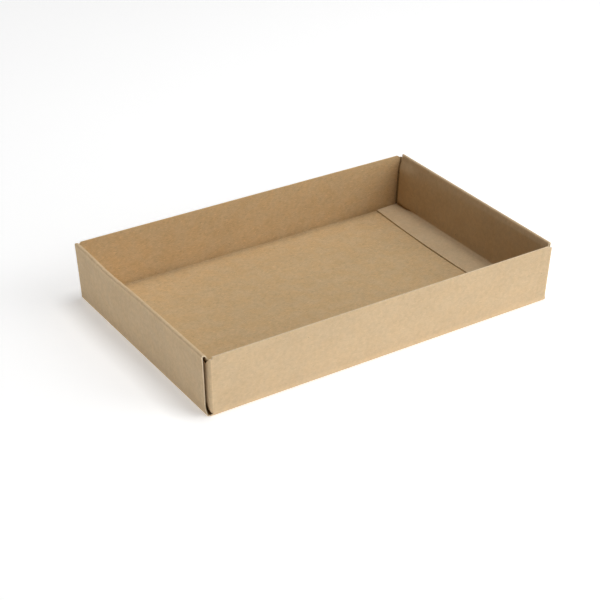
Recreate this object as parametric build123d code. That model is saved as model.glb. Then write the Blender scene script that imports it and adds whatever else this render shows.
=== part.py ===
from build123d import *

import math
import os

# Shallow tray folded from one cut and creased blank of solid kraft board.
# The origin is at the centre of the floor's underside: X runs along the tray, Y across it, Z up.
# All sizes are in millimetres, and angles in degrees.

# Outside of the folded tray
tray_length = 203.0  # between the outer faces of the two rolled ends, at the floor
tray_width = 127.0  # between the outer faces of the two side walls
end_height = 31.5  # from the underside to the top of a rolled rim
side_height = 31.5  # from the underside to the cut top edge of a side wall
end_lean = 5.0  # the rolled ends lean outwards by this angle

# Board and creases
board = 0.6  # thickness of the board
crease_radius = 0.5  # inside radius of a single crease
rim_radius = 0.25  # inside radius of the two close creases that make a rim
crease_land = 0.3  # flat board between a bend and the panel beside it
layer_gap = 0.1  # air between layers that lie on each other
roll_gap = 0.35  # air between an outer end panel and the corner tabs behind it

# Outer end panel: its cut edges curve in from the corners and then run straight up
corner_gap = 0.3  # from a side wall's outer face to the panel's edge, at the floor
end_setback = 3.0  # from a side wall's outer face to the panel's edge, higher up
relief_height = 8.0  # height at which the curve ends

# Inner end panel and its foot flap, which lies flat on the floor
taper_depth = 11.0  # below the rim, where the slanting cut edge reaches its full width
foot_width = 15.0  # from the inner panel's face to the foot's free edge
foot_taper = 1.2  # how much each end of the foot draws in towards its free edge

# Corner tabs: the ends of the side walls, folded in and held inside the rolled ends
tab_length = 42.0  # from a side wall's outer face to the tab's free edge
tab_bottom_gap = 1.0  # from the floor's upper face to a tab's lower edge, at the crease
tab_top_drop = 1.2  # from the top of the rim down to a tab's upper edge, at the crease
tab_taper = 3.0  # how much the two edges draw together towards the free edge
tab_corner_radius = 4.0

lean = math.radians(end_lean)
mid_crease = crease_radius + board / 2
mid_rim = rim_radius + board / 2
fold_top = board + crease_radius
half_width = tray_width / 2
floor_half_length = tray_length / 2 - fold_top - crease_land
floor_half_width = half_width - fold_top - crease_land

# Depth of each layer of a rolled end behind its outer face, at mid-thickness
tab_depth = 1.5 * board + roll_gap
inner_depth = tab_depth + board + layer_gap


def end_x(depth, height):
    """X of a layer of the +X end that lies the given depth behind its leaning outer face."""
    return tray_length / 2 - depth / math.cos(lean) + height * math.tan(lean)


def side_end_x(height):
    """X of the line where a side wall's flat ends and the bend of its corner tab begins."""
    return end_x(tab_depth, height) - mid_crease - crease_land


def strip(plane, path, reach):
    """Board along a path in a plane, carried both ways square to the plane."""
    return extrude(plane * trace(path, board), amount=reach, both=True)


def within(solid, plane, outline):
    """The part of a strip inside its panel's cut outline, drawn in a plane."""
    return solid & extrude(plane * make_face(outline), amount=tray_length, both=True)


def mirrored_outline(half_outline):
    """A closed outline from its right half, which starts and ends on the Y axis."""
    return Curve() + [*half_outline, *[mirror(line, about=Plane.YZ) for line in half_outline]]


def floor_panel():
    return extrude(Rectangle(2 * floor_half_length, 2 * floor_half_width), amount=board)


def side_wall():
    """The +Y side wall with its floor crease: one layer, cut square at the top."""
    mid_y = half_width - board / 2
    path = FilletPolyline(
        (floor_half_width, board / 2), (mid_y, board / 2), (mid_y, side_height), radius=mid_crease
    )
    half_outline = Polyline(
        (0, -board),
        (floor_half_length, -board),
        (floor_half_length, fold_top),
        (side_end_x(fold_top), fold_top),
        (side_end_x(side_height), side_height),
        (0, side_height),
    )
    return within(strip(Plane.YZ, path, tray_length), Plane.XZ, mirrored_outline([half_outline]))


def corner_tab():
    """The tab at the +X end of the +Y side wall, bent round a crease that leans with the end."""
    mid_x = end_x(tab_depth, 0)
    mid_y = half_width - board / 2
    path = FilletPolyline(
        (side_end_x(0), mid_y), (mid_x, mid_y), (mid_x, half_width - tab_length), radius=mid_crease
    )
    upright = Vector(math.sin(lean), 0, math.cos(lean))
    bent = extrude(trace(path, board), amount=end_height / math.cos(lean), dir=upright)
    low = board + tab_bottom_gap
    high = end_height - tab_top_drop
    outline = FilletPolyline(
        (half_width + board, low),
        (half_width, low),
        (half_width - tab_length, low + tab_taper),
        (half_width - tab_length, high - tab_taper),
        (half_width, high),
        (half_width + board, high),
        close=True,
        radius=[0, 0, tab_corner_radius, tab_corner_radius, 0, 0],
    )
    return within(bent, Plane.YZ, outline)


def rim_points():
    """Mid-thickness points of the +X rim: outer crease, middle and inner crease."""
    z = end_height - board / 2
    outer = (end_x(board / 2, z), z)
    inner = (end_x(inner_depth, z), z)
    middle = ((outer[0] + inner[0]) / 2, z)
    return outer, middle, inner


def outer_end():
    """The +X outer end panel, from the floor crease up to the middle of the rim."""
    rim_outer, rim_middle, _ = rim_points()
    foot_of_wall = (end_x(board / 2, board / 2), board / 2)
    path = FilletPolyline(
        (floor_half_length, board / 2), foot_of_wall, rim_outer, rim_middle, radius=[mid_crease, mid_rim]
    )
    base = half_width - corner_gap
    edge = half_width - end_setback
    half_outline = [
        Polyline((0, -board), (base, -board), (base, 0)),
        TangentArc((edge, relief_height), (base, 0), tangent=(0, -1)),
        Polyline((edge, relief_height), (edge, end_height + board), (0, end_height + board)),
    ]
    return within(strip(Plane.XZ, path, half_width), Plane.YZ, mirrored_outline(half_outline))


def inner_end():
    """The +X inner end panel, from the middle of the rim down to the free edge of its foot flap."""
    _, rim_middle, rim_inner = rim_points()
    foot_z = 1.5 * board + layer_gap
    foot_root = end_x(inner_depth + board / 2, board)
    foot_tip = foot_root - foot_width
    foot_of_wall = (end_x(inner_depth, foot_z), foot_z)
    path = FilletPolyline(
        rim_middle, rim_inner, foot_of_wall, (foot_tip, foot_z), radius=[mid_rim, mid_crease]
    )
    edge = half_width - end_setback
    full = half_width - fold_top - layer_gap
    elevation = Polyline(
        (0, 0),
        (full, 0),
        (full, end_height - taper_depth),
        (edge, end_height - board),
        (edge, end_height + board),
        (0, end_height + board),
    )
    plan = Polyline(
        (foot_tip, 0), (foot_tip, full - foot_taper), (foot_root, full), (tray_length, full), (tray_length, 0)
    )
    panel = within(strip(Plane.XZ, path, half_width), Plane.YZ, mirrored_outline([elevation]))
    foot_outline = Curve() + [plan, mirror(plan, about=Plane.XZ)]
    return within(panel, Plane.XY, foot_outline)


def tray():
    """The whole folded blank: floor, two side walls, four corner tabs and two rolled ends."""
    end = [outer_end(), inner_end(), corner_tab(), mirror(corner_tab(), about=Plane.XZ)]
    walls = [side_wall(), mirror(side_wall(), about=Plane.XZ)]
    far_end = [mirror(panel, about=Plane.YZ) for panel in end]
    return floor_panel() + walls + end + far_end


os.makedirs("parts", exist_ok=True)
export_step(tray(), "parts/tray.step")
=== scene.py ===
"""A shallow tray folded from one blank of kraft board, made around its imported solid, and a plain studio.

Everything is in metres, in the solid's own frame: X along the tray, Y across it, Z up, floor at Z = 0.
"""

import math

import bpy
import numpy as np
from bpy.props import FloatProperty, FloatVectorProperty, IntProperty, PointerProperty
from mathutils import Matrix, Vector


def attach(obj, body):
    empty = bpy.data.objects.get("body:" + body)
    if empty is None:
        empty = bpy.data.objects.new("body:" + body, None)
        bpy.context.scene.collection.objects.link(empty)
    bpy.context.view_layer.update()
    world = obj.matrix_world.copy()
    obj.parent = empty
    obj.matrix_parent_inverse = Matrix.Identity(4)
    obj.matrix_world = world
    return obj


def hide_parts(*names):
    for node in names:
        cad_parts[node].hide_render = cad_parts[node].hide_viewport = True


bl_info = {
    "name": "Kraft board tray",
    "version": (1, 0, 0),
    "blender": (4, 5, 0),
    "location": "3D View > Sidebar > Tray",
    "description": "Folds a shallow tray from one blank of kraft board and lays out a plain studio for it",
    "category": "Add Mesh",
}

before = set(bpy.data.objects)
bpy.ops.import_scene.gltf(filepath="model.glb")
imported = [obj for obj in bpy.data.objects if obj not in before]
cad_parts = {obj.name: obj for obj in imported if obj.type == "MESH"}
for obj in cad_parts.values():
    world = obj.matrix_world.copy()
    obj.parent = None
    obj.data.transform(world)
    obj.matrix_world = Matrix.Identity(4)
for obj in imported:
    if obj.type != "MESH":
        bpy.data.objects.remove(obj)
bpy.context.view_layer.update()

MM = 0.001
RIGHT, LEFT = 1, -1
BACK, FRONT = 1, -1

# Spacing of the grid lines over flat panels, over upright ones and up an outer end panel.
FLAT_SPACING = 2.6 * MM
UPRIGHT_SPACING = 2.2 * MM
OUTER_SPACING = 1.1 * MM
# Steps round a crease, round a rim's two bends and between them, along a foot and round a tab's free corner.
CREASE_STEPS = 8
RIM_OUTER_STEPS = 9
RIM_RUN_STEPS = 4
RIM_INNER_STEPS = 6
FOOT_STEPS = 7
CORNER_STEPS = 6

# The board's tone changes on a bend, and over this distance beside it: painted shade on the inside face and a
# painted highlight on the outside.
BEND_FADE = 0.9 * MM
# Over this distance the painted shade in a fold's hollow grows e times lighter.
PAINTED_SHADE_FADE = 2.4 * MM
# A floor crease's painted shade starts this far before its bend.
PAINTED_SHADE_LEAD = 0.7 * MM
# The painted shade in a corner fold's hollow is this much stronger than in a floor crease.
CORNER_PAINTED_SHADE = 2.5

# A front corner's fold is drawn in by this share at the floor, and fully at the top.
FRONT_FOLD_AT_FLOOR = 0.6
# A back corner's fold comes out again by this share, between these two shares of the height.
BACK_FOLD_RETURN = 0.6
BACK_FOLD_LEVELS = (0.7, 0.95)
# A drawn-in tab starts to come back to its place this far past its bend.
FOLD_HOLD = 4 * MM
# A tab pushes the inner panel in from this depth below the rim on, and less and less from the second of two
# heights down to the first.
PUSH_TOP = 0.5 * MM
PUSH_FOOT = (1.4 * MM, 4.5 * MM)
# The push is full up to this far past the fold's reach, and is gone at this many times the reach.
PUSH_HOLD = 2 * MM
PUSH_SPREAD = 3

# An end panel leaves the floor's grid for its own cut edge within this length of board.
CORNER_OPENING = 0.9 * MM
# An inner panel widens to its foot flap's width within this length above the foot's crease.
FOOT_WIDENING = 2.0 * MM
# How far a tab's lower edge steps up to clear the foot flap's crease, and the share of it on the bend.
LOWER_STEP = 3.2 * MM
STEP_ON_BEND = 0.2
# The slow waves in a foot flap's free edge: radians per metre, their share of the lift and their start.
FOOT_WAVES = 140
FOOT_WAVE_SHARE = 0.6
FOOT_WAVE_START = 0.5
# The slow waves over the flat blank: radians per metre along both its directions, start and strength.
BLANK_WAVES = ((62, 23, 0.7, 1.0), (-37, 71, 2.1, 0.8), (94, -55, 4.0, 0.6))
# A side wall's lean fades out within this share of the half width.
FLAT_SHARE = 0.6

# The cut edges are worn round by this much, wherever two faces meet at more than this angle.
EDGE_WEAR = 0.06 * MM
EDGE_WEAR_STEPS = 2
EDGE_ANGLE = math.radians(50)


def length(name, default, description):
    """A length in metres that a user would change, given here in millimetres."""
    return FloatProperty(
        name=name,
        description=description,
        default=default * MM,
        precision=5,
        subtype="DISTANCE",
        unit="LENGTH",
    )


def turn(name, default, description):
    """An angle that a user would change, given here in degrees."""
    return FloatProperty(
        name=name, description=description, default=math.radians(default), subtype="ANGLE", unit="ROTATION"
    )


def share(name, default, description):
    """A plain factor between 0 and 1."""
    return FloatProperty(name=name, description=description, default=default, min=0, max=1, subtype="FACTOR")


def colour(name, default, description):
    """A linear colour."""
    return FloatVectorProperty(
        name=name, description=description, default=default, size=3, min=0, max=1, subtype="COLOR"
    )


class TrayBoard(bpy.types.PropertyGroup):
    """The board and how tightly it is creased."""

    thickness: length("Thickness", 0.6, "Thickness of the board")
    crease_radius: length("Crease radius", 0.5, "Inside radius of a single crease")
    rim_radius: length("Rim radius", 0.25, "Inside radius of the two creases of a rim")
    crease_land: length("Crease land", 0.3, "Flat board between a bend and the panel beside it")
    layer_gap: length("Layer gap", 0.22, "Air between layers that lie on each other")
    roll_gap: length("Roll gap", 0.35, "Air between an outer end panel and the tabs behind it")


class TrayPanels(bpy.types.PropertyGroup):
    """Outside sizes of the folded tray and the cut outlines of its panels."""

    half_length: length("Half length", 100.72, "From the middle to an end's outer face, at the floor")
    half_width: length("Half width", 62.4, "From the middle to a side wall's outer face, at the floor")
    height: length("Height", 31.5, "From the underside to the rims and the walls' top edges")
    front_gap: length("Front gap", 0.2, "From the front wall to an end panel's edge, at the floor")
    back_gap: length("Back gap", 0.3, "From the back wall to an end panel's edge, at the floor")
    front_setback: length("Front setback", 3.1, "From the front wall to an end panel's edge, higher up")
    back_setback: length("Back setback", 0.4, "From the back wall to an end panel's edge, higher up")
    relief_height: length("Relief height", 5.0, "Height at which the end panel's curved edge ends")
    inner_gap: length("Inner gap", 1.9, "From a side wall's inner face to an inner panel's edge")
    taper_depth: length("Taper depth", 4.5, "Depth below the rim at which an inner panel has that gap")
    foot_width: length("Foot width", 14.9, "From an inner panel's crease to its foot flap's free edge")
    foot_gap: length("Foot gap", 0.2, "From a side wall's inner face to a foot flap's end")
    foot_bow: length("Foot bow", 2.4, "How far the middle of a foot flap's free edge reaches further")
    tab_length: length("Tab length", 42.0, "From a side wall's outer face to a corner tab's free edge")
    tab_low: length("Tab lower edge", 1.4, "Height of a corner tab's lower edge at its crease")
    tab_drop: length("Tab top drop", 1.2, "From the rim down to a corner tab's upper edge at its crease")
    tab_taper: length("Tab taper", 3.0, "How much a tab's two edges draw together")
    tab_corner: length("Tab corner", 4.0, "Radius of a tab's free corners")


class TrayHandling(bpy.types.PropertyGroup):
    """How the hand-folded tray departs from a true one."""

    lean_left_front: length("Lean, left front", 1.6, "How far the left rim stands out at the front")
    lean_left_back: length("Lean, left back", 2.1, "How far the left rim stands out at the back")
    lean_right_front: length("Lean, right front", 1.24, "How far the right rim stands out at the front")
    lean_right_back: length("Lean, right back", 1.29, "How far the right rim stands out at the back")
    bulge: length("Left bulge", 0.8, "How far the back tab pushes the left rim out")
    bulge_place: length("Bulge place", 27.0, "Where along the left rim the bulge is")
    bulge_reach: length("Bulge reach", 17.0, "How far the bulge reaches along the rim")
    left_rim_tilt: turn("Left rim tilt", 10.0, "How far the left rim's top slopes inwards")
    right_rim_tilt_front: turn("Right rim tilt, front", 70.0, "Slope of the right rim's top at the front")
    right_rim_tilt_back: turn("Right rim tilt, back", 83.0, "Slope of the right rim's top at the back")
    foot_root: length("Foot root", 0.8, "How far a foot flap's crease stays up from the floor")
    front_wall_left: length("Front wall, left", 0.0, "How far the front wall's top stands out at the left")
    front_wall_right: length("Front wall, right", 0.0, "How far the front wall's top stands out at the right")
    back_wall_left: length("Back wall, left", 0.9, "How far the back wall's top stands out at the left")
    back_wall_right: length("Back wall, right", 0.9, "How far the back wall's top stands out at the right")
    notch_left_front: length("Notch, left front", 0.25, "How far the wall's top is cut back there")
    notch_left_back: length("Notch, left back", 1.2, "How far the wall's top is cut back there")
    notch_right_front: length("Notch, right front", 1.7, "How far the wall's top is cut back there")
    notch_right_back: length("Notch, right back", 2.0, "How far the wall's top is cut back there")
    fold_left_front: length("Fold in, left front", 1.25, "How far that fold stays back at its top")
    fold_left_back: length("Fold in, left back", 0.0, "How far that fold stays back below its top")
    fold_right_front: length("Fold in, right front", 0.5, "How far that fold stays back at its top")
    fold_right_back: length("Fold in, right back", 1.8, "How far that fold stays back below its top")
    fold_reach: length("Fold reach", 6.0, "Length in which a tab comes back to its place from there")
    foot_lift: length("Foot lift", 0.12, "How far a foot flap's free edge stays up from the floor")
    tab_dip_left: length("Tab dip, left", 3.2, "How far a left tab's upper edge drops past its bend")
    tab_dip_right: length("Tab dip, right", 9.0, "How far a right tab's upper edge drops past its bend")
    buckle: length("Buckle", 0.06, "Depth of the slow waves in the flat panels")


class TrayFinish(bpy.types.PropertyGroup):
    """Colours of the board's two faces and of its cut edges."""

    inside: colour("Inside face", (0.61, 0.425, 0.225), "The warmer, mottled face that is folded inwards")
    outside: colour("Outside face", (0.62, 0.458, 0.276), "The paler, calendered face")
    cut_edge: colour("Cut edge", (0.80, 0.66, 0.46), "The pale core that a cut lays open")
    mottle: share("Mottle", 0.07, "How much the board's tone varies")
    tint: share("Tint", 0.045, "How much the board's warmth varies")
    fibres: share("Fibres", 0.22, "How much single fibres stand out")
    specks: share("Specks", 0.45, "How dark the few bark specks are")
    # Painted shade: how much darker the board is painted in the hollow of a fold.
    painted_hollow_shade: share("Hollows", 0.18, "How much darker the board is in the hollow of a fold")
    tooth: length("Tooth", 0.012, "Depth of the paper's surface grain")


class TrayStudio(bpy.types.PropertyGroup):
    """The plain stage, the lights and the camera."""

    floor_colour: colour("Floor", (0.86, 0.86, 0.86), "Colour of the plain floor")
    floor_glow: share("Floor glow", 0.40, "Strength of the floor's own even light")
    floor_size: FloatProperty(name="Floor size", description="Side of the floor", default=6.0, unit="LENGTH")
    brightness: FloatProperty(name="Brightness", description="Factor on all the lamps", default=1.0)
    focal_pixels: FloatProperty(name="Focal length", description="In pixels of the frame", default=1520.0)
    frame_pixels: IntProperty(name="Frame side", description="Pixels of the square frame", default=600)


def steps_for(run, spacing):
    """How many even steps a run takes at about a spacing."""
    return max(1, round(run / spacing))


def folded_path(start, heading, runs):
    """A line of straight runs and round bends, for one or many places at once.

    Each run is a length, the angle it turns through and its number of steps. Lengths and turns may be arrays.
    The heading grows evenly along a bend, and each step's chord is its length times the sinc of half its
    turn, laid along the mean heading, which puts every point exactly on the arc.
    Returns the distance along the line, its two coordinates and its heading, all of shape (points, places).
    """
    steps = np.array([run[2] for run in runs])
    stretch = np.stack(np.broadcast_arrays(*[np.atleast_1d(run[0]) for run in runs], start[0])[:-1])
    bend = np.stack(np.broadcast_arrays(*[np.atleast_1d(run[1]) for run in runs], start[0])[:-1])
    ds = np.repeat(stretch / steps[:, None], steps, axis=0)
    dh = np.repeat(bend / steps[:, None], steps, axis=0)
    zero = np.zeros((1, ds.shape[1]))
    along = np.concatenate([zero, np.cumsum(ds, axis=0)])
    headings = heading + np.concatenate([zero, np.cumsum(dh, axis=0)])
    mean = (headings[1:] + headings[:-1]) / 2
    chord = ds * np.sinc(dh / (2 * np.pi))
    first = start[0] + np.concatenate([zero, np.cumsum(chord * np.cos(mean), axis=0)])
    second = start[1] + np.concatenate([zero, np.cumsum(chord * np.sin(mean), axis=0)])
    return along, first, second, headings


def smooth(value, low, high):
    """0 below low, 1 above high, and an even S between them."""
    t = np.clip((value - low) / (high - low), 0, 1)
    return t * t * (3 - 2 * t)


class Fold:
    """Sizes that follow from the board, the panels and the handling, as one place to ask for them."""

    def __init__(self, board, panels, handling):
        self.board, self.panels, self.handling = board, panels, handling
        self.half = board.thickness / 2
        self.crease = board.crease_radius + self.half
        self.rim = board.rim_radius + self.half
        self.fold_top = board.thickness + board.crease_radius
        self.tab_depth = 1.5 * board.thickness + board.roll_gap
        self.inner_depth = self.tab_depth + board.thickness + board.layer_gap
        self.floor_x = panels.half_length - self.fold_top - board.crease_land
        self.floor_y = panels.half_width - self.fold_top - board.crease_land
        self.wall_y = panels.half_width - self.half
        self.tab_top = panels.height - panels.tab_drop

    def at_corners(self, what, side):
        """One kind of handling at the front and the back corner of a side."""
        end = "right" if side == RIGHT else "left"
        return tuple(getattr(self.handling, f"{what}_{end}_{corner}") for corner in ("front", "back"))

    def towards_back(self, y):
        """0 at the front wall, 1 at the back wall and an even change between them."""
        return (y / self.panels.half_width + 1) / 2

    def stand_out(self, side, y):
        """How far a rim stands out: an even change from front to back, and the left rim's bell of a bulge."""
        h = self.handling
        front, back = self.at_corners("lean", side)
        out = front + (back - front) * self.towards_back(y)
        if side == LEFT:
            out = out + h.bulge * np.exp(-(((y - h.bulge_place) / h.bulge_reach) ** 2))
        return out

    def lean(self, side, y):
        """The angle by which an end leans out: the slope from its foot to its rim."""
        return np.arctan(self.stand_out(side, y) / self.panels.height)

    def rim_tilt(self, side, y):
        """How far a rim's top slopes inwards: evenly on the left, and more towards the back on the right."""
        h = self.handling
        if side == LEFT:
            return h.left_rim_tilt + 0 * y
        change = h.right_rim_tilt_back - h.right_rim_tilt_front
        return h.right_rim_tilt_front + change * self.towards_back(y)

    def end_x(self, side, depth, y, z):
        """Distance from the middle of a layer that lies a depth behind an end's leaning outer face."""
        lean = self.lean(side, y)
        return self.panels.half_length - depth / np.cos(lean) + z * np.tan(lean)

    def wall_end(self, side, y, z):
        """Distance from the middle to where a side wall ends and the bend of its tab begins."""
        notch = np.where(y < 0, *self.at_corners("notch", side))
        kept_back = notch * smooth(z, self.tab_top, self.panels.height) + self.drawn_in(side, y, z)
        return self.end_x(side, self.tab_depth, y, z) - self.crease - self.board.crease_land - kept_back

    def drawn_in(self, side, y, z):
        """How far a corner's fold stays back behind its rolled end.

        At the front it does so more towards the top, at the back it comes out again near the top.
        """
        front, back = self.at_corners("fold", side)
        level = z / self.panels.height
        front = front * (FRONT_FOLD_AT_FLOOR + (1 - FRONT_FOLD_AT_FLOOR) * level)
        back = back * (1 - BACK_FOLD_RETURN * smooth(level, *BACK_FOLD_LEVELS))
        return np.where(y < 0, front, back)

    def pushed_in(self, side, y, z):
        """How far a corner tab's fold pushes the inner panel in beside it, between its rim and its foot."""
        reach = self.handling.fold_reach
        push = np.where(y < 0, *self.at_corners("fold", side))
        from_corner = self.panels.half_width - np.abs(y)
        below_rim = smooth(self.panels.height - z, PUSH_TOP, self.tab_dip(side))
        upright = below_rim * smooth(z, *PUSH_FOOT)
        return push * upright * (1 - smooth(from_corner, reach + PUSH_HOLD, PUSH_SPREAD * reach))

    def tab_dip(self, side):
        """How far a tab's upper edge drops past its bend, out of the inner panel's way."""
        return self.handling.tab_dip_right if side == RIGHT else self.handling.tab_dip_left


def near_bend(along, centre, reach):
    """1 on a bend and a soft fall to 0 beside it: a bell of the distance beyond the bend."""
    return np.exp(-((np.maximum(0, np.abs(along - centre) - reach) / BEND_FADE) ** 2))


def painted_shade_falloff(beyond):
    """Strength of a fold's painted shade: 1 in its hollow, fading evenly with the distance beyond it."""
    return np.exp(-np.maximum(0, beyond) / PAINTED_SHADE_FADE)


def both_halves(half, sign):
    """A whole cross-section from its half past the middle: that half mirrored, times a sign, then itself."""
    return np.concatenate([sign * half[:0:-1], half])


def inward_normals(points, guide):
    """Normals of a grid: the cross product of its two central differences, turned to the side of a guide."""
    along, up = np.gradient(points, axis=(0, 1))
    normals = np.cross(along, up)
    return normals * np.sign((normals * guide[:, None]).sum(axis=-1, keepdims=True))


def core_patch(fold):
    """Floor and both side walls: a cross-section carried along X.

    Across: flat floor, quarter bend, upright wall, mirrored about the middle. Along: an even spread between
    the two ends, which follow the floor's creases and, on the walls, the leaning tab creases.
    Returns middle points, normals, flat-blank coordinates, nearness to a bend and painted shade in a fold's
    hollow, each a grid, and the row marks.
    """
    p, b = fold.panels, fold.board
    quarter = fold.crease * math.pi / 2
    wall_run = fold.tab_top - p.tab_low
    runs = [
        (fold.floor_y, 0, steps_for(fold.floor_y, FLAT_SPACING)),
        (b.crease_land, 0, 1),
        (quarter, math.pi / 2, CREASE_STEPS),
        (p.tab_low - fold.fold_top, 0, 1),
        (wall_run, 0, steps_for(wall_run, UPRIGHT_SPACING)),
        (p.height - fold.tab_top, 0, 2),
    ]
    marks = np.concatenate([[0], np.cumsum([run[2] for run in runs])])
    along, y, z, heading = (a[:, 0] for a in folded_path((0.0, fold.half), 0.0, runs))
    bend_at = fold.floor_y + b.crease_land + quarter / 2
    v, y, z = both_halves(along, -1), both_halves(y, -1), both_halves(z, 1)
    ny, nz = both_halves(-np.sin(heading), -1), both_halves(np.cos(heading), 1)
    bend = both_halves(near_bend(along, bend_at, quarter / 2), 1)
    # Painted shade in each floor crease's hollow: full over one bend's length from a little before the bend,
    # fading on either side.
    crease_line = bend_at - quarter / 2 - PAINTED_SHADE_LEAD
    past = np.where(along > crease_line, along - crease_line - quarter, crease_line - along)
    painted_hollow_shade = both_halves(painted_shade_falloff(past), 1)
    columns = 2 * steps_for(fold.floor_x, FLAT_SPACING)
    spread = np.linspace(-1, 1, columns + 1)[:, None]
    bend_top = bend_at + quarter / 2
    up_the_wall = smooth(np.abs(v), bend_top, bend_top + p.tab_low - fold.fold_top)
    on_floor = fold.floor_x * (1 - up_the_wall)
    left, right = (on_floor + fold.wall_end(side, y, z) * up_the_wall for side in (LEFT, RIGHT))
    u = np.where(spread < 0, spread * left, spread * right)
    grid = np.ones_like(u)
    points = np.stack([u, grid * y, grid * z], axis=-1)
    normals = np.stack([0 * grid, grid * ny, grid * nz], axis=-1)
    flat = np.stack([u, grid * v], axis=-1)
    return points, normals, flat, grid * bend, grid * painted_hollow_shade, marks


def end_patch(fold, side, v):
    """One rolled end: the floor's edge bent up, over the rim and down again to the foot flap.

    For each place across the tray the section is a path of runs and bends whose lengths follow from the
    lean and the slope of the rim there. Past the rim's first bend, half of the way in is a straight run and
    half is the second bend. Rows are then drawn in or out to the panel's cut outline: an arc above the floor
    and a straight edge on the outer panel, and a slanting edge on the inner one, which widens to its foot.
    v holds the places across, which are the floor's own grid lines.
    """
    p, b, h = fold.panels, fold.board, fold.handling
    lean, tilt = fold.lean(side, v), fold.rim_tilt(side, v)
    upright = math.pi / 2 - lean
    land = fold.end_x(side, fold.half, v, fold.half) - fold.crease * np.tan(upright / 2) - fold.floor_x
    crease_top = fold.half + fold.crease * (1 - np.cos(upright))
    ridge_rise = fold.rim * (1 + np.sin(lean))
    outer_run = (p.height - fold.half - ridge_rise - crease_top) / np.cos(lean)
    first_turn = math.pi / 2 + lean + tilt
    second_turn = math.pi - first_turn
    half_spare = (fold.inner_depth - fold.half - fold.rim * (1 - np.cos(first_turn))) / 2
    rim_run = half_spare / np.sin(first_turn)
    inner_radius = half_spare / (1 + np.cos(first_turn))
    rolled = [
        (land, 0, 1),
        (fold.crease * upright, upright, CREASE_STEPS),
        (outer_run, 0, steps_for(float(outer_run.mean()), OUTER_SPACING)),
        (fold.rim * first_turn, first_turn, RIM_OUTER_STEPS),
        (rim_run, 0, RIM_RUN_STEPS),
        (inner_radius * second_turn, second_turn, RIM_INNER_STEPS),
    ]
    start = (fold.floor_x + 0 * v, fold.half + 0 * v)
    s1, x1, z1, h1 = folded_path(start, 0.0, rolled)
    foot_z = 1.5 * b.thickness + b.layer_gap + h.foot_root
    inner_run = (z1[-1] - foot_z - fold.rim * (1 - np.sin(lean))) / np.cos(lean)
    foot_run = p.foot_width - b.thickness + p.foot_bow * (1 - (v / p.half_width) ** 2)
    lift = h.foot_lift * (1 + FOOT_WAVE_SHARE * np.sin(FOOT_WAVES * v + FOOT_WAVE_START))
    down_turn = -upright + np.arcsin((h.foot_root - lift) / foot_run)
    lowered = [
        (inner_run, 0, steps_for(float(inner_run.mean()), UPRIGHT_SPACING)),
        (fold.rim * -down_turn, down_turn, CREASE_STEPS),
        (foot_run, 0, FOOT_STEPS),
    ]
    s2, x2, z2, h2 = folded_path((x1[-1], z1[-1]), h1[-1], lowered)
    s = np.concatenate([s1, s1[-1] + s2[1:]])
    x, z = np.concatenate([x1, x2[1:]]), np.concatenate([z1, z2[1:]])
    heading = np.concatenate([h1, h2[1:]])

    marks = np.concatenate([[0], np.cumsum([run[2] for run in rolled + lowered])])
    rim_middle, foot_crease = marks[4], marks[7]
    on_inner = np.arange(len(s)) >= rim_middle
    middle = v.size // 2
    height = z[:, middle]
    travelled = s[:, middle]
    opening = smooth(travelled, 0, CORNER_OPENING)
    slant = np.clip((p.height - height) / p.taper_depth, 0, 1)
    widening = smooth(travelled, travelled[foot_crease] - FOOT_WIDENING, travelled[foot_crease])
    inner_full = p.half_width - b.thickness - p.inner_gap
    foot_full = p.half_width - b.thickness - p.foot_gap
    shares = []
    for gap, setback in ((p.front_gap, p.front_setback), (p.back_gap, p.back_setback)):
        edge = p.half_width - setback
        reach = setback - gap
        radius = (p.relief_height**2 + reach**2) / (2 * reach)
        below = np.maximum(0, p.relief_height - height)
        curved = edge + radius - np.sqrt(radius**2 - below**2)
        outer_edge = fold.floor_y * (1 - opening) + curved * opening
        inner_edge = edge + (inner_full - edge) * slant
        inner_edge = inner_edge + (foot_full - inner_edge) * widening
        shares.append(np.where(on_inner, inner_edge, outer_edge) / fold.floor_y)
    y = v * np.where(v < 0, shares[0][:, None], shares[1][:, None])

    x = x - on_inner[:, None] * fold.pushed_in(side, y, z)
    points = np.stack([side * x, y, z], axis=-1)
    normals = np.stack([-side * np.sin(heading), 0 * y, np.cos(heading)], axis=-1)
    flat = np.stack([side * (fold.floor_x + s), y], axis=-1)
    bend = 0
    for k, angle in ((1, upright), (3, first_turn), (5, second_turn), (7, -down_turn)):
        low, high = s[marks[k]], s[marks[k + 1]]
        sharpness = np.minimum(1, angle / (math.pi / 2))
        bend = bend + sharpness * near_bend(s, (low + high) / 2, (high - low) / 2)
    return points, normals, flat, np.minimum(bend, 1), 0 * bend


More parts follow.
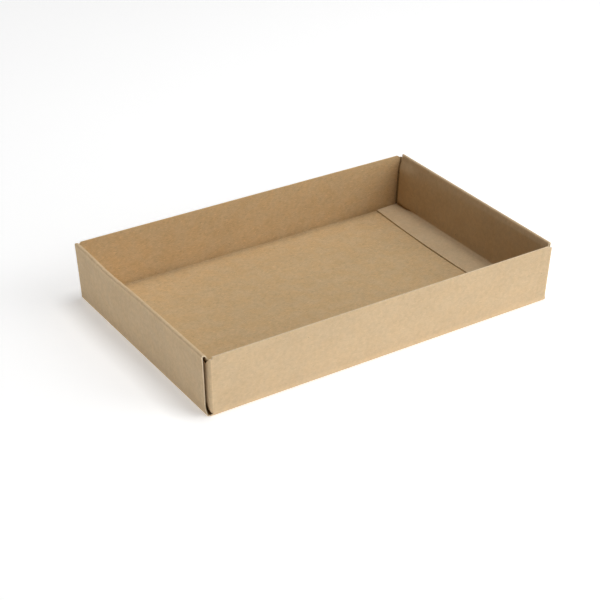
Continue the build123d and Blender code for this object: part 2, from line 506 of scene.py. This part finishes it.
def tab_patch(fold, side, across, z_rows):
    """One corner tab: the end of a side wall bent in behind the end's outer panel.

    Seen from above it is a path with one quarter bend; each level is that path shifted by the end's lean.
    Its two long edges draw together evenly and are rounded off by quarter circles at the free end. Past the
    bend its upper edge drops and its lower edge steps up, each along an even S, and so does a fold that stays
    back behind the end come back to its place.
    z_rows holds the heights of the wall's own grid lines that the tab shares.
    """
    p, b = fold.panels, fold.board
    quarter = fold.crease * math.pi / 2
    reach = fold.tab_depth
    straight = p.tab_length - fold.half - fold.crease
    body = straight - p.tab_corner
    runs = [
        (b.crease_land, 0, 1),
        (quarter, -math.pi / 2, CREASE_STEPS),
        (body, 0, steps_for(body, FLAT_SPACING)),
        (p.tab_corner, 0, CORNER_STEPS),
    ]
    base = p.half_length - reach - fold.crease - b.crease_land
    s, plan_x, plan_y, heading = (a[:, 0] for a in folded_path((base, fold.wall_y), 0.0, runs))
    total = s[-1]
    rounding = np.clip(s - (total - p.tab_corner), 0, p.tab_corner)
    corner = p.tab_corner - np.sqrt(np.maximum(0, p.tab_corner**2 - rounding**2))
    bend_end = b.crease_land + quarter
    past_bend = smooth(s, bend_end - quarter / 4, bend_end + quarter)
    dip = fold.tab_dip(side) * past_bend
    drawn_in = p.tab_taper * s / total + corner
    step = LOWER_STEP * (STEP_ON_BEND * smooth(s, 0, bend_end) + (1 - STEP_ON_BEND) * past_bend)
    low, high = p.tab_low + drawn_in + step, fold.tab_top - drawn_in - dip
    level = (z_rows - p.tab_low) / (fold.tab_top - p.tab_low)
    z = low[:, None] + (high - low)[:, None] * level
    y = across * plan_y[:, None] + 0 * z
    x = plan_x[:, None] - (fold.end_x(side, 0.0, y, 0.0) - p.half_length)
    shift = fold.end_x(side, reach, y, z) - (p.half_length - reach)
    settled = bend_end + FOLD_HOLD
    returned = smooth(s, settled, settled + fold.handling.fold_reach)[:, None]
    x = x + shift - fold.drawn_in(side, y, z) * (1 - returned)
    points = np.stack([side * x, y, z], axis=-1)
    guide = np.stack([side * np.sin(heading), -across * np.cos(heading), 0 * s], axis=-1)
    normals = inward_normals(points, guide)
    height_on_blank = fold.floor_y + b.crease_land + quarter + z - fold.fold_top
    flat = np.stack([side * (x[0] + s[:, None]), across * height_on_blank], axis=-1)
    bend = near_bend(s, b.crease_land + quarter / 2, quarter / 2)[:, None] + 0 * z
    # Painted shade in the hollow behind the corner fold, stronger than in a floor crease.
    painted_hollow_shade = CORNER_PAINTED_SHADE * painted_shade_falloff(s - bend_end)[:, None] + 0 * z
    return points, normals, flat, bend, painted_hollow_shade


class Sheet:
    """Grids of middle points sewn into one sheet, which then gets its thickness."""

    def __init__(self):
        self.points, self.normals, self.flat, self.bend, self.painted_hollow_shade, self.quads = [], [], [], [], [], []
        self.count = 0

    def add(self, patch, shared=None, turned=False):
        """Adds a grid and returns its point numbers. Shared holds those of its first line, if it has them."""
        points, normals, flat, bend, painted_hollow_shade = patch
        skip = 0 if shared is None else 1
        rows, columns = points.shape[0] - skip, points.shape[1]
        fresh = self.count + np.arange(rows * columns).reshape(rows, columns)
        self.count += rows * columns
        numbers = fresh if shared is None else np.concatenate([shared[None], fresh])
        self.points.append(points[skip:].reshape(-1, 3))
        self.normals.append(normals[skip:].reshape(-1, 3))
        self.flat.append(flat[skip:].reshape(-1, 2))
        self.bend.append(bend[skip:].reshape(-1))
        self.painted_hollow_shade.append(painted_hollow_shade[skip:].reshape(-1))
        quads = np.stack([numbers[:-1, :-1], numbers[1:, :-1], numbers[1:, 1:], numbers[:-1, 1:]], axis=-1)
        quads = quads.reshape(-1, 4)
        self.quads.append(quads[:, ::-1] if turned else quads)
        return numbers

    def joined(self):
        """All the grids' points, normals, blank coordinates, bends, painted hollow shades and quads, each as
        one array.
        """
        lists = (self.points, self.normals, self.flat, self.bend, self.painted_hollow_shade, self.quads)
        return tuple(np.concatenate(part) for part in lists)


def cut_edges(quads):
    """The sheet's cut outline: the directed sides of its quads that have no neighbour."""
    sides = np.concatenate([quads[:, [k, (k + 1) % 4]] for k in range(4)])
    size = quads.max() + 1
    there = sides[:, 0] * size + sides[:, 1]
    back = sides[:, 1] * size + sides[:, 0]
    return sides[~np.isin(there, back)]


def slow_waves(flat):
    """Gentle waves over the flat blank: a sum of three sines along different directions."""
    u, v = flat.T
    waves = sum(strength * np.sin(a * u + b * v + start) for a, b, start, strength in BLANK_WAVES)
    return waves / sum(wave[-1] for wave in BLANK_WAVES)


def hand_warp(points, fold):
    """Moves a side wall's top in or out, more with its height and with an even change along the wall."""
    h, p = fold.handling, fold.panels
    x, y, z = points.T
    t = (x / p.half_length + 1) / 2
    front = h.front_wall_left + (h.front_wall_right - h.front_wall_left) * t
    back = h.back_wall_left + (h.back_wall_right - h.back_wall_left) * t
    near_wall = smooth(np.abs(y), FLAT_SHARE * p.half_width, p.half_width)
    out = np.where(y < 0, -front, back) * (z / p.height) * near_wall
    return np.stack([x, y + out, z], axis=1)


def sew_tray(fold):
    """All patches of the blank, sewn along the floor's end creases and the walls' ends."""
    sheet = Sheet()
    *core, marks = core_patch(fold)
    numbers = sheet.add(core)
    centre = core[0].shape[1] // 2
    floor = slice(centre - marks[1], centre + marks[1] + 1)
    v = core[2][0, floor, 1]
    sheet.add(end_patch(fold, RIGHT, v), numbers[-1, floor])
    sheet.add(end_patch(fold, LEFT, v), numbers[0, floor], turned=True)
    low, top = marks[4], marks[5]
    for side in (LEFT, RIGHT):
        column = numbers[-1] if side == RIGHT else numbers[0]
        for across in (FRONT, BACK):
            rows = slice(centre + low, centre + top + 1)
            if across == FRONT:
                rows = slice(centre - top, centre - low + 1)
            z_rows = core[0][0, rows, 2]
            sheet.add(tab_patch(fold, side, across, z_rows), column[rows], turned=side == LEFT)
    return sheet.joined()


def thick_mesh(fold):
    """The sheet's two faces, half a thickness either side of its middle, closed by a band along every cut."""
    points, normals, flat, bend, painted_hollow_shade, quads = sew_tray(fold)
    normals = normals / np.linalg.norm(normals, axis=1, keepdims=True)
    wave = fold.handling.buckle * (1 + slow_waves(flat)) * (1 - bend)
    points = hand_warp(points + normals * wave[:, None], fold)
    count = len(points)
    inside = points + normals * fold.half
    outside = points - normals * fold.half
    cuts = cut_edges(quads)
    bands = np.stack([cuts[:, 1], cuts[:, 0], cuts[:, 0] + count, cuts[:, 1] + count], axis=1)
    faces = np.concatenate([quads, quads[:, ::-1] + count, bands])
    vertices = np.concatenate([inside, outside])
    mesh = bpy.data.meshes.new("kraft_tray")
    mesh.vertices.add(len(vertices))
    mesh.vertices.foreach_set("co", vertices.astype(np.float32).ravel())
    mesh.loops.add(faces.size)
    mesh.loops.foreach_set("vertex_index", faces.astype(np.int32).ravel())
    mesh.polygons.add(len(faces))
    mesh.polygons.foreach_set("loop_start", np.arange(0, faces.size, 4, dtype=np.int32))
    kinds = np.repeat([0, 1, 2], [len(quads), len(quads), len(bands)]).astype(np.int32)
    mesh.polygons.foreach_set("material_index", kinds)
    blank = mesh.uv_layers.new(name="blank")
    blank.data.foreach_set("uv", np.concatenate([flat, flat])[faces.ravel()].astype(np.float32).ravel())
    # The painted hollow shade goes on the inside face only.
    for name, values in (("bend", (bend, bend)), ("painted_hollow_shade", (painted_hollow_shade, 0 * painted_hollow_shade))):
        layer = mesh.attributes.new(name, "FLOAT", "POINT")
        layer.data.foreach_set("value", np.concatenate(values).astype(np.float32))
    mesh.update(calc_edges=True)
    mesh.validate()
    return mesh


class Nodes:
    """A short way to lay out a material's nodes."""

    def __init__(self, name):
        self.material = bpy.data.materials.new(name)
        self.material.use_nodes = True
        self.tree = self.material.node_tree
        self.tree.nodes.clear()

    def add(self, kind, inputs=(), **settings):
        """A node of a kind, with values or links for its inputs by name and its own settings."""
        node = self.tree.nodes.new(kind)
        for key, value in settings.items():
            setattr(node, key, value)
        for key, value in dict(inputs).items():
            self.feed(node.inputs[key], value)
        return node

    def feed(self, socket, value):
        """Links a socket to another one, or sets its value."""
        if isinstance(value, bpy.types.NodeSocket):
            self.tree.links.new(value, socket)
        else:
            socket.default_value = value

    def maths(self, operation, first, second=0.0, third=0.0):
        """One step of arithmetic on up to three grey values."""
        node = self.add("ShaderNodeMath", operation=operation)
        for socket, value in zip(node.inputs, (first, second, third)):
            self.feed(socket, value)
        return node.outputs[0]

    def ramp(self, value, low, high, to_low=0.0, to_high=1.0):
        """An even S from one value to another between a low and a high mark."""
        inputs = {"Value": value, "From Min": low, "From Max": high, "To Min": to_low, "To Max": to_high}
        return self.add("ShaderNodeMapRange", inputs, interpolation_type="SMOOTHSTEP").outputs["Result"]

    def noise(self, vector, scale, detail=2.0, roughness=0.5, distortion=0.0):
        """Grey clouds at a scale."""
        inputs = {"Vector": vector, "Scale": scale, "Detail": detail}
        inputs |= {"Roughness": roughness, "Distortion": distortion}
        return self.add("ShaderNodeTexNoise", inputs, noise_dimensions="3D").outputs["Fac"]

    def mapped(self, vector, location=(0, 0, 0), rotation=0.0, scale=(1, 1, 1)):
        """Coordinates that are moved, turned about their third direction and scaled."""
        inputs = {"Vector": vector, "Location": location, "Rotation": (0, 0, rotation), "Scale": scale}
        return self.add("ShaderNodeMapping", inputs).outputs[0]

    def attribute(self, name):
        """A value that the mesh's points carry."""
        return self.add("ShaderNodeAttribute", attribute_name=name, attribute_type="GEOMETRY").outputs["Fac"]

    def finished(self, surface):
        """The material, with its surface laid out from named inputs."""
        shader = self.add("ShaderNodeBsdfPrincipled", surface)
        self.add("ShaderNodeOutputMaterial", {"Surface": shader.outputs[0]})
        return self.material

    def tinted(self, colour, value):
        """A colour times a grey value."""
        node = self.add("ShaderNodeVectorMath", operation="SCALE")
        self.feed(node.inputs[0], colour)
        self.feed(node.inputs["Scale"], value)
        return node.outputs[0]


# A face's patterns start at its seed along the blank, and at this many times its seed across it.
SEED_ACROSS = 2.3
# The middle part of a noise's range, which holds nearly all of its values.
NOISE_RANGE = (0.3, 0.7)

# The board's patterns, from wide to fine: scale per metre of blank, detail and roughness.
CLOUDS = (55, 2, 0.5)
TINTS = (130, 3, 0.55)
MOTTLE = (420, 3, 0.6)
MOTTLE_DISTORTION = 0.4
GRAIN = (5200, 2, 0.6)
# How the tone's variation is shared out between clouds and mottle.
CLOUD_SHARE = 0.35
# The part of a noise's range over which the board turns from its cooler to its warmer tint.
TINT_RANGE = (0.35, 0.65)
# How much less green the cooler tint has, and how much less red and more green the warmer one has.
COOL_GREEN = 0.4
WARM_SHIFT = 0.25

# Fibres: the angles of three sets of streaks, their scales along and across, where each set starts on the
# noise, that noise's scale, detail and roughness, and its two tails that are light and dark fibres. They
# wander by a depth, at a scale.
FIBRE_ANGLES = (0.35, 1.4, 2.45)
FIBRE_SCALES = (520, 4200, 1)
FIBRE_STARTS = (0.31, 0.17)
STRANDS = (1.0, 1, 0.5)
LIGHT_FIBRES = (0.64, 0.76)
DARK_FIBRES = (0.36, 0.25)
WANDER_SCALE = 260
WANDER_DEPTH = 1.6 * MM
FIBRE_RELIEF = 0.5

# Specks: cells per metre, the few of them that hold one, and a speck's soft rim as shares of a cell.
SPECK_SCALE = 190
SPECK_CELLS = (0.955, 0.965)
SPECK_RIM = (0.075, 0.03)

# A face's roughness where its grain is low, how much the grain adds, its shine and the strength of its tooth.
FACE_ROUGHNESS = 0.74
GRAIN_ROUGHNESS = 0.12
FACE_SHINE = 0.3
FACE_TOOTH = 0.7

# A cut edge: its layers and tufts as scale, detail and roughness, what each adds to the tone, and its
# surface.
PLIES = (2600, 3, 0.6)
TUFTS = (900, 2, 0.5)
PLY_TONE = 0.10
TUFT_TONE = 0.06
CUT_ROUGHNESS = 0.88
CUT_SHINE = 0.2
CUT_TOOTH = 0.8


def kraft_face(name, tone, finish, seed, strength, painted_bend_light):
    """One face of the board: clouds, mottle, criss-cross fibres and bark specks, over a fine paper tooth,
    with painted light and shade on its bends and painted shade in its fold hollows.

    All patterns lie on the flat blank, so they run on over the folds as they do on the real sheet.
    The tone is 1 plus each pattern times its strength. Fibres are the two tails of a stretched noise.
    """
    n = Nodes(name)
    blank = n.add("ShaderNodeUVMap", uv_map="blank").outputs[0]
    blank = n.mapped(blank, location=(seed, SEED_ACROSS * seed, 0))
    clouds = n.ramp(n.noise(blank, *CLOUDS), *NOISE_RANGE, -1, 1)
    mottle = n.ramp(n.noise(blank, *MOTTLE, MOTTLE_DISTORTION), *NOISE_RANGE, -1, 1)
    wander = n.add("ShaderNodeTexNoise", {"Vector": blank, "Scale": WANDER_SCALE, "Detail": 1.0})
    bent = n.add("ShaderNodeVectorMath", operation="MULTIPLY_ADD")
    n.feed(bent.inputs[0], wander.outputs["Color"])
    n.feed(bent.inputs[1], (WANDER_DEPTH, WANDER_DEPTH, 0.0))
    n.feed(bent.inputs[2], blank)
    light, dark = 0.0, 0.0
    for k, angle in enumerate(FIBRE_ANGLES):
        start = (FIBRE_STARTS[0] * k, FIBRE_STARTS[1] * k, seed)
        strand = n.noise(n.mapped(bent.outputs[0], start, angle, FIBRE_SCALES), *STRANDS)
        light = n.maths("ADD", light, n.ramp(strand, *LIGHT_FIBRES))
        dark = n.maths("ADD", dark, n.ramp(strand, *DARK_FIBRES))
    fibre = n.maths("SUBTRACT", light, dark)
    spread = {"Vector": blank, "Scale": SPECK_SCALE, "Randomness": 1.0}
    cells = n.add("ShaderNodeTexVoronoi", spread, feature="F1")
    lot = n.add("ShaderNodeSeparateColor", {"Color": cells.outputs["Color"]}).outputs[0]
    dot = n.ramp(cells.outputs["Distance"], *SPECK_RIM)
    speck = n.maths("MULTIPLY", n.ramp(lot, *SPECK_CELLS), dot)
    grain = n.noise(blank, *GRAIN)
    tone_shift = 1.0
    for pattern, amount in (
        (clouds, CLOUD_SHARE * finish.mottle),
        (mottle, (1 - CLOUD_SHARE) * finish.mottle),
        (fibre, strength * finish.fibres),
        (speck, -finish.specks),
        # Painted light on bends: painted shade on the inside face and a painted highlight on the outside.
        (n.attribute("bend"), painted_bend_light),
        # Painted shade in the hollows of folds.
        (n.attribute("painted_hollow_shade"), -finish.painted_hollow_shade),
    ):
        tone_shift = n.maths("MULTIPLY_ADD", pattern, amount, tone_shift)
    red, green, blue = tone
    tint = strength * finish.tint
    warm_shift = WARM_SHIFT * tint
    warm = n.add("ShaderNodeMix", data_type="RGBA")
    n.feed(warm.inputs["Factor"], n.ramp(n.noise(blank, *TINTS), *TINT_RANGE))
    n.feed(warm.inputs["A"], (red, green * (1 - COOL_GREEN * tint), blue * (1 - tint), 1))
    n.feed(warm.inputs["B"], (red * (1 - warm_shift), green * (1 + warm_shift), blue * (1 + tint), 1))
    relief = n.maths("MULTIPLY_ADD", fibre, FIBRE_RELIEF, grain)
    bump = n.add("ShaderNodeBump", {"Height": relief, "Distance": finish.tooth, "Strength": FACE_TOOTH})
    surface = {
        "Base Color": n.tinted(warm.outputs["Result"], tone_shift),
        "Roughness": n.maths("MULTIPLY_ADD", grain, GRAIN_ROUGHNESS, FACE_ROUGHNESS),
        "Normal": bump.outputs[0],
        "Specular IOR Level": FACE_SHINE,
    }
    return n.finished(surface)


def kraft_cut(name, tone, finish):
    """A cut edge: the pale core of the board, layered along its length and torn a little by the die."""
    n = Nodes(name)
    place = n.add("ShaderNodeTexCoord").outputs["Object"]
    plies = n.noise(place, *PLIES)
    tufts = n.noise(place, *TUFTS)
    tone_shift = n.maths("MULTIPLY_ADD", n.ramp(plies, *NOISE_RANGE, -1, 1), PLY_TONE, 1.0)
    tone_shift = n.maths("MULTIPLY_ADD", n.ramp(tufts, *NOISE_RANGE, -1, 1), TUFT_TONE, tone_shift)
    bump = n.add("ShaderNodeBump", {"Height": plies, "Distance": 2 * finish.tooth, "Strength": CUT_TOOTH})
    surface = {
        "Base Color": n.tinted((*tone,), tone_shift),
        "Roughness": CUT_ROUGHNESS,
        "Normal": bump.outputs[0],
        "Specular IOR Level": CUT_SHINE,
    }
    return n.finished(surface)


# How the two faces differ: where on the noise each starts, how strong its fibres are, and its painted light
# on a bend, which is painted shade inside and a painted highlight outside.
INSIDE_LOOK = {"seed": 1.7, "strength": 1.0, "painted_bend_light": -0.05}
OUTSIDE_LOOK = {"seed": 5.3, "strength": 0.5, "painted_bend_light": 0.12}


class TRAY_OT_fold_board(bpy.types.Operator):
    """Fold the tray from its flat blank and give its faces and cut edges their finish"""

    bl_idname = "tray.fold_board"
    bl_label = "Fold the tray"

    def execute(self, context):
        """Makes the one closed mesh of the tray."""
        scene = context.scene
        fold = Fold(scene.tray_board, scene.tray_panels, scene.tray_handling)
        finish = scene.tray_finish
        mesh = thick_mesh(fold)
        mesh.materials.append(kraft_face("kraft_inside", finish.inside, finish, **INSIDE_LOOK))
        mesh.materials.append(kraft_face("kraft_outside", finish.outside, finish, **OUTSIDE_LOOK))
        mesh.materials.append(kraft_cut("kraft_cut_edge", finish.cut_edge, finish))
        mesh.shade_smooth()
        tray = bpy.data.objects.new("kraft_tray", mesh)
        scene.collection.objects.link(tray)
        softened = tray.modifiers.new("worn cut edges", "BEVEL")
        softened.width = EDGE_WEAR
        softened.segments = EDGE_WEAR_STEPS
        softened.limit_method = "ANGLE"
        softened.angle_limit = EDGE_ANGLE
        softened.harden_normals = True
        softened.use_clamp_overlap = True
        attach(tray, "root")
        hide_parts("tray")
        return {"FINISHED"}


# The camera stands at the photograph's angle: its place, and its right, down and forward directions.
CAMERA_PLACE = (-0.3861, -0.5446, 0.3903)
CAMERA_RIGHT = (0.83055, -0.55640, 0.02465)
CAMERA_DOWN = (-0.26398, -0.43223, -0.86226)
CAMERA_FORWARD = (0.49042, 0.70964, -0.50587)
# The camera's sensor in millimetres, and the nearest and farthest distances that it shows in metres.
SENSOR_WIDTH = 36
CAMERA_NEAR = 0.01
CAMERA_FAR = 50

# The floor lies this far under the tray.
FLOOR_DROP = 0.02 * MM
# Its paper: the scale and detail of its noise, the two tones that this varies between, and its surface.
FLOOR_NOISE = (3, 2)
FLOOR_TONES = (0.995, 1.005)
FLOOR_ROUGHNESS = 0.9
FLOOR_SHINE = 0.1

# The softboxes: name, azimuth and elevation in degrees, distance and size in metres, power in watts.
# Azimuth 0 is in front of the tray and 90 is at its right. A lamp under the level mark looks straight across.
LEVEL_LAMP = 10
STUDIO_LAMPS = (
    ("low_front_right", 45, 20, 1.5, (1, 1), 9.5),
    ("high_front_right", 45, 45, 1.5, (1, 1), 5.9),
    ("front", 0, 20, 1.5, (1, 1), 2.1),
    ("overhead", 80, 80, 1.5, (0.6, 0.6), 9.2),
    ("behind", 180, 70, 1.5, (1, 1), 1.2),
    ("left_behind", 225, 25, 1.5, (1, 1), 1.6),
    ("left_strip", 272, 3.7, 0.7, (1.2, 0.08), 0.57),
    ("left_front_strip", 290, 3.7, 0.7, (1.2, 0.08), 0.17),
)


def aim(place, target):
    """A matrix at a place, looking along -Z at a target."""
    back = (Vector(place) - Vector(target)).normalized()
    side = Vector((0, 0, 1)).cross(back).normalized()
    up = back.cross(side)
    matrix = Matrix((side, up, back)).transposed().to_4x4()
    matrix.translation = place
    return matrix


def lay_floor(scene, studio):
    """One square of pale paper that glows a little and evenly."""
    half = studio.floor_size / 2
    corners = [(-half, -half, 0), (half, -half, 0), (half, half, 0), (-half, half, 0)]
    mesh = bpy.data.meshes.new("studio_floor")
    mesh.from_pydata(corners, [], [(0, 1, 2, 3)])
    n = Nodes("studio_paper")
    place = n.add("ShaderNodeTexCoord").outputs["Object"]
    tone_shift = n.ramp(n.noise(place, *FLOOR_NOISE), *NOISE_RANGE, *FLOOR_TONES)
    surface = {
        "Base Color": n.tinted((*studio.floor_colour,), tone_shift),
        "Roughness": FLOOR_ROUGHNESS,
        "Specular IOR Level": FLOOR_SHINE,
        "Emission Color": (1, 1, 1, 1),
        "Emission Strength": studio.floor_glow,
    }
    mesh.materials.append(n.finished(surface))
    floor = bpy.data.objects.new("studio_floor", mesh)
    floor.location.z = -FLOOR_DROP
    scene.collection.objects.link(floor)


def hang_softbox(scene, brightness, name, azimuth, elevation, distance, size, power):
    """One rectangular lamp, placed by its angles and distance and turned to the tray."""
    lamp = bpy.data.lights.new(name, "AREA")
    lamp.shape = "RECTANGLE"
    lamp.size, lamp.size_y = size
    lamp.energy = power * brightness
    around, up = math.radians(azimuth), math.radians(elevation)
    level = distance * math.cos(up)
    height = distance * math.sin(up)
    place = (level * math.sin(around), -level * math.cos(around), height)
    softbox = bpy.data.objects.new(name, lamp)
    softbox.matrix_world = aim(place, (0, 0, height if elevation < LEVEL_LAMP else 0))
    scene.collection.objects.link(softbox)


def set_camera(scene, studio):
    """The camera at the photograph's place and angle, with its focal length from pixels of the frame."""
    lens = bpy.data.cameras.new("camera")
    lens.sensor_fit = "HORIZONTAL"
    lens.sensor_width = SENSOR_WIDTH
    lens.lens = SENSOR_WIDTH * studio.focal_pixels / studio.frame_pixels
    lens.clip_start = CAMERA_NEAR
    lens.clip_end = CAMERA_FAR
    camera = bpy.data.objects.new("camera", lens)
    axes = Matrix((Vector(CAMERA_RIGHT), -Vector(CAMERA_DOWN), -Vector(CAMERA_FORWARD))).transposed()
    camera.matrix_world = axes.to_4x4()
    camera.location = CAMERA_PLACE
    scene.collection.objects.link(camera)
    scene.camera = camera


class TRAY_OT_lay_studio(bpy.types.Operator):
    """Lay the plain floor, hang the soft lights and set up the camera"""

    bl_idname = "tray.lay_studio"
    bl_label = "Lay out the studio"

    def execute(self, context):
        """Makes the floor, the lamps and the camera, with no other light in the air."""
        scene = context.scene
        studio = scene.tray_studio
        lay_floor(scene, studio)
        world = bpy.data.worlds.new("studio_air")
        world.use_nodes = True
        sky = world.node_tree.nodes["Background"]
        sky.inputs["Strength"].default_value = 0
        scene.world = world
        for lamp in STUDIO_LAMPS:
            hang_softbox(scene, studio.brightness, *lamp)
        set_camera(scene, studio)
        scene.view_settings.view_transform = "Standard"
        return {"FINISHED"}


class TRAY_PT_panel(bpy.types.Panel):
    """Lists the tray's pieces and sizes in the sidebar"""

    bl_idname = "TRAY_PT_panel"
    bl_label = "Kraft board tray"
    bl_space_type = "VIEW_3D"
    bl_region_type = "UI"
    bl_category = "Tray"

    def draw(self, context):
        """Shows the two pieces of work and every size and colour that can be changed."""
        layout = self.layout
        layout.operator(TRAY_OT_fold_board.bl_idname)
        layout.operator(TRAY_OT_lay_studio.bl_idname)
        for name in SETTINGS:
            group = getattr(context.scene, name)
            box = layout.box()
            for key in group.__annotations__:
                box.prop(group, key)


SETTINGS = {
    "tray_board": TrayBoard,
    "tray_panels": TrayPanels,
    "tray_handling": TrayHandling,
    "tray_finish": TrayFinish,
    "tray_studio": TrayStudio,
}
CLASSES = (*SETTINGS.values(), TRAY_OT_fold_board, TRAY_OT_lay_studio, TRAY_PT_panel)


def register():
    """Makes the classes and the settings known."""
    for cls in CLASSES:
        bpy.utils.register_class(cls)
    for name, group in SETTINGS.items():
        setattr(bpy.types.Scene, name, PointerProperty(type=group))


def unregister():
    """Takes the settings and the classes away again."""
    for name in SETTINGS:
        delattr(bpy.types.Scene, name)
    for cls in reversed(CLASSES):
        bpy.utils.unregister_class(cls)


def main():
    """Makes the settings known, folds the tray and lays out the studio."""
    register()
    bpy.ops.tray.fold_board()
    bpy.ops.tray.lay_studio()


if __name__ == "__main__":
    main()
